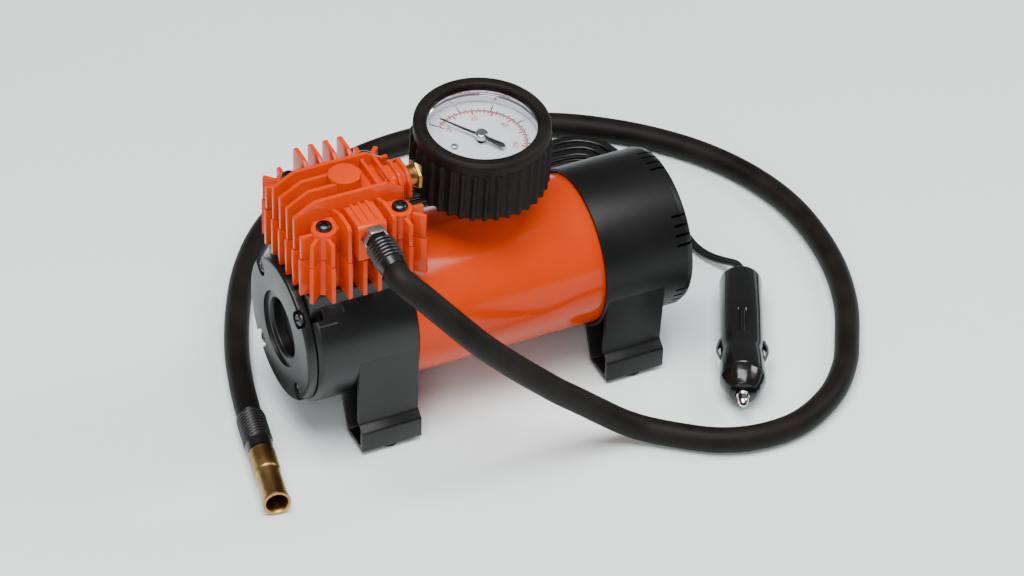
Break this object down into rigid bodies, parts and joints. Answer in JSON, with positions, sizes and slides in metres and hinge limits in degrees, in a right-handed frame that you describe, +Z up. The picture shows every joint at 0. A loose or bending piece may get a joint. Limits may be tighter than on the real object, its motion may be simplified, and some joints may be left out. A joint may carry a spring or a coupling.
{
  "type": "portable tire inflator",
  "caption": "Portable 12 V tyre inflator: direct-drive piston compressor on four feet, finned head, top pressure gauge, air hose with screw-on valve chuck, and accessory plug on a cable.",
  "frame": {"origin": "bottom centre of the compressor's bounding box, cords left out, on the plane of the rubber feet", "axes": "+X along the motor axis from the crankcase cover to the rear cap, -Y the side the hose leaves from, +Z up"},
  "size_m": [0.3173, 0.2715, 0.1412],
  "materials": {
    "gloss_orange": "gloss powder coat",
    "satin_black": "satin, fine grain",
    "gloss_black": "gloss",
    "black_rubber": "satin rubber",
    "cable_pvc": "satin",
    "dark_steel": "black oxide",
    "bright_steel": "machined",
    "zinc_steel": "zinc plated",
    "copper_wire": "enamelled copper",
    "ferrite": "sintered",
    "carbon": "sintered carbon",
    "gasket_fibre": "fibre",
    "ptfe_seal": "filled PTFE",
    "cast_alloy": "as cast and machined",
    "brass": "turned",
    "chrome_plate": "bright",
    "clear_lens": "clear",
    "white_dial": "printed",
    "black_needle": "matt"
  },
  "bodies": {
    "machine": {"motor_can": "gloss_orange", "cylinder": "gloss_orange", "cylinder_head": "gloss_orange", "crankcase": "satin_black", "crankcase_cover": "satin_black", "rear_cap": "satin_black", "brush_plate": "satin_black", "gauge_boot": "black_rubber", "rubber_foot_1": "black_rubber", "rubber_foot_2": "black_rubber", "rubber_foot_3": "black_rubber", "rubber_foot_4": "black_rubber", "air_hose": "black_rubber", "hose_boot_head": "black_rubber", "hose_boot_chuck": "black_rubber", "cable_grommet": "black_rubber", "cable_lead": "cable_pvc", "cable_hank": "cable_pvc", "cable_tail": "cable_pvc", "cover_screw_1": "dark_steel", "cover_screw_2": "dark_steel", "cover_screw_3": "dark_steel", "cover_screw_4": "dark_steel", "head_screw_1": "dark_steel", "head_screw_2": "dark_steel", "head_screw_3": "dark_steel", "head_screw_4": "dark_steel", "front_bearing": "bright_steel", "rear_bearing": "bright_steel", "valve_plate": "bright_steel", "hose_nut": "zinc_steel", "magnet_near": "ferrite", "magnet_far": "ferrite", "brush_near": "carbon", "brush_far": "carbon", "head_gasket": "gasket_fibre", "gauge_fitting": "brass", "bourdon_tube": "brass", "gauge_case": "chrome_plate", "gauge_lens": "clear_lens", "gauge_dial": "white_dial", "plug_body": "gloss_black"},
    "rotor": {"motor_shaft": "bright_steel", "armature_core": "bright_steel", "armature_windings": "copper_wire", "commutator": "copper_wire", "cooling_fan": "satin_black", "crank_disc": "bright_steel"},
    "piston_body": {"piston": "cast_alloy", "piston_seal": "ptfe_seal", "wrist_pin": "bright_steel"},
    "rod_body": {"connecting_rod": "cast_alloy", "big_end_bearing": "bright_steel"},
    "needle": {"gauge_needle": "black_needle"},
    "chuck": {"valve_chuck": "brass"},
    "nose": {"plug_nose": "gloss_black"},
    "tip": {"plug_tip": "chrome_plate"},
    "clip_right": {"plug_clip_right": "chrome_plate"},
    "clip_left": {"plug_clip_left": "chrome_plate"}
  },
  "joints": [
    {"name": "shaft_spin", "type": "hinge", "parent": "machine", "child": "rotor", "pos_m": [-0.05485, 0, 0.052], "axis": [1, 0, 0], "continuous": true},
    {"name": "piston_slide", "type": "slide", "parent": "machine", "child": "piston_body", "axis": [0, 0, 1], "range_m": [0, 0.012]},
    {"name": "rod_swing", "type": "hinge", "parent": "piston_body", "child": "rod_body", "pos_m": [-0.06235, 0, 0.084], "axis": [1, 0, 0], "range_deg": [-9, 9]},
    {"name": "needle_sweep", "type": "hinge", "parent": "machine", "child": "needle", "pos_m": [0.00235, 0, 0.118], "axis": [0, 0.0785, -0.9969], "range_deg": [0, 270], "stiffness_Nm_per_rad": 0.0005},
    {"name": "chuck_spin", "type": "hinge", "parent": "machine", "child": "chuck", "pos_m": [-0.10835, 0.0001, 0.0068], "axis": [-0.1908, -0.9816, 0], "continuous": true},
    {"name": "nose_turn", "type": "hinge", "parent": "machine", "child": "nose", "pos_m": [0.13435, -0.007, 0.0105], "axis": [-0.4524, -0.8918, 0], "continuous": true},
    {"name": "tip_press", "type": "slide", "parent": "nose", "child": "tip", "axis": [0.4524, 0.8918, 0], "range_m": [0, 0.004], "stiffness_N_per_m": 400},
    {"name": "clip_right_press", "type": "slide", "parent": "machine", "child": "clip_right", "axis": [-0.8918, 0.4524, 0], "range_m": [0, 0.0015], "stiffness_N_per_m": 800},
    {"name": "clip_left_press", "type": "slide", "parent": "machine", "child": "clip_left", "axis": [0.8918, -0.4524, 0], "range_m": [0, 0.0015], "stiffness_N_per_m": 800}
  ]
}
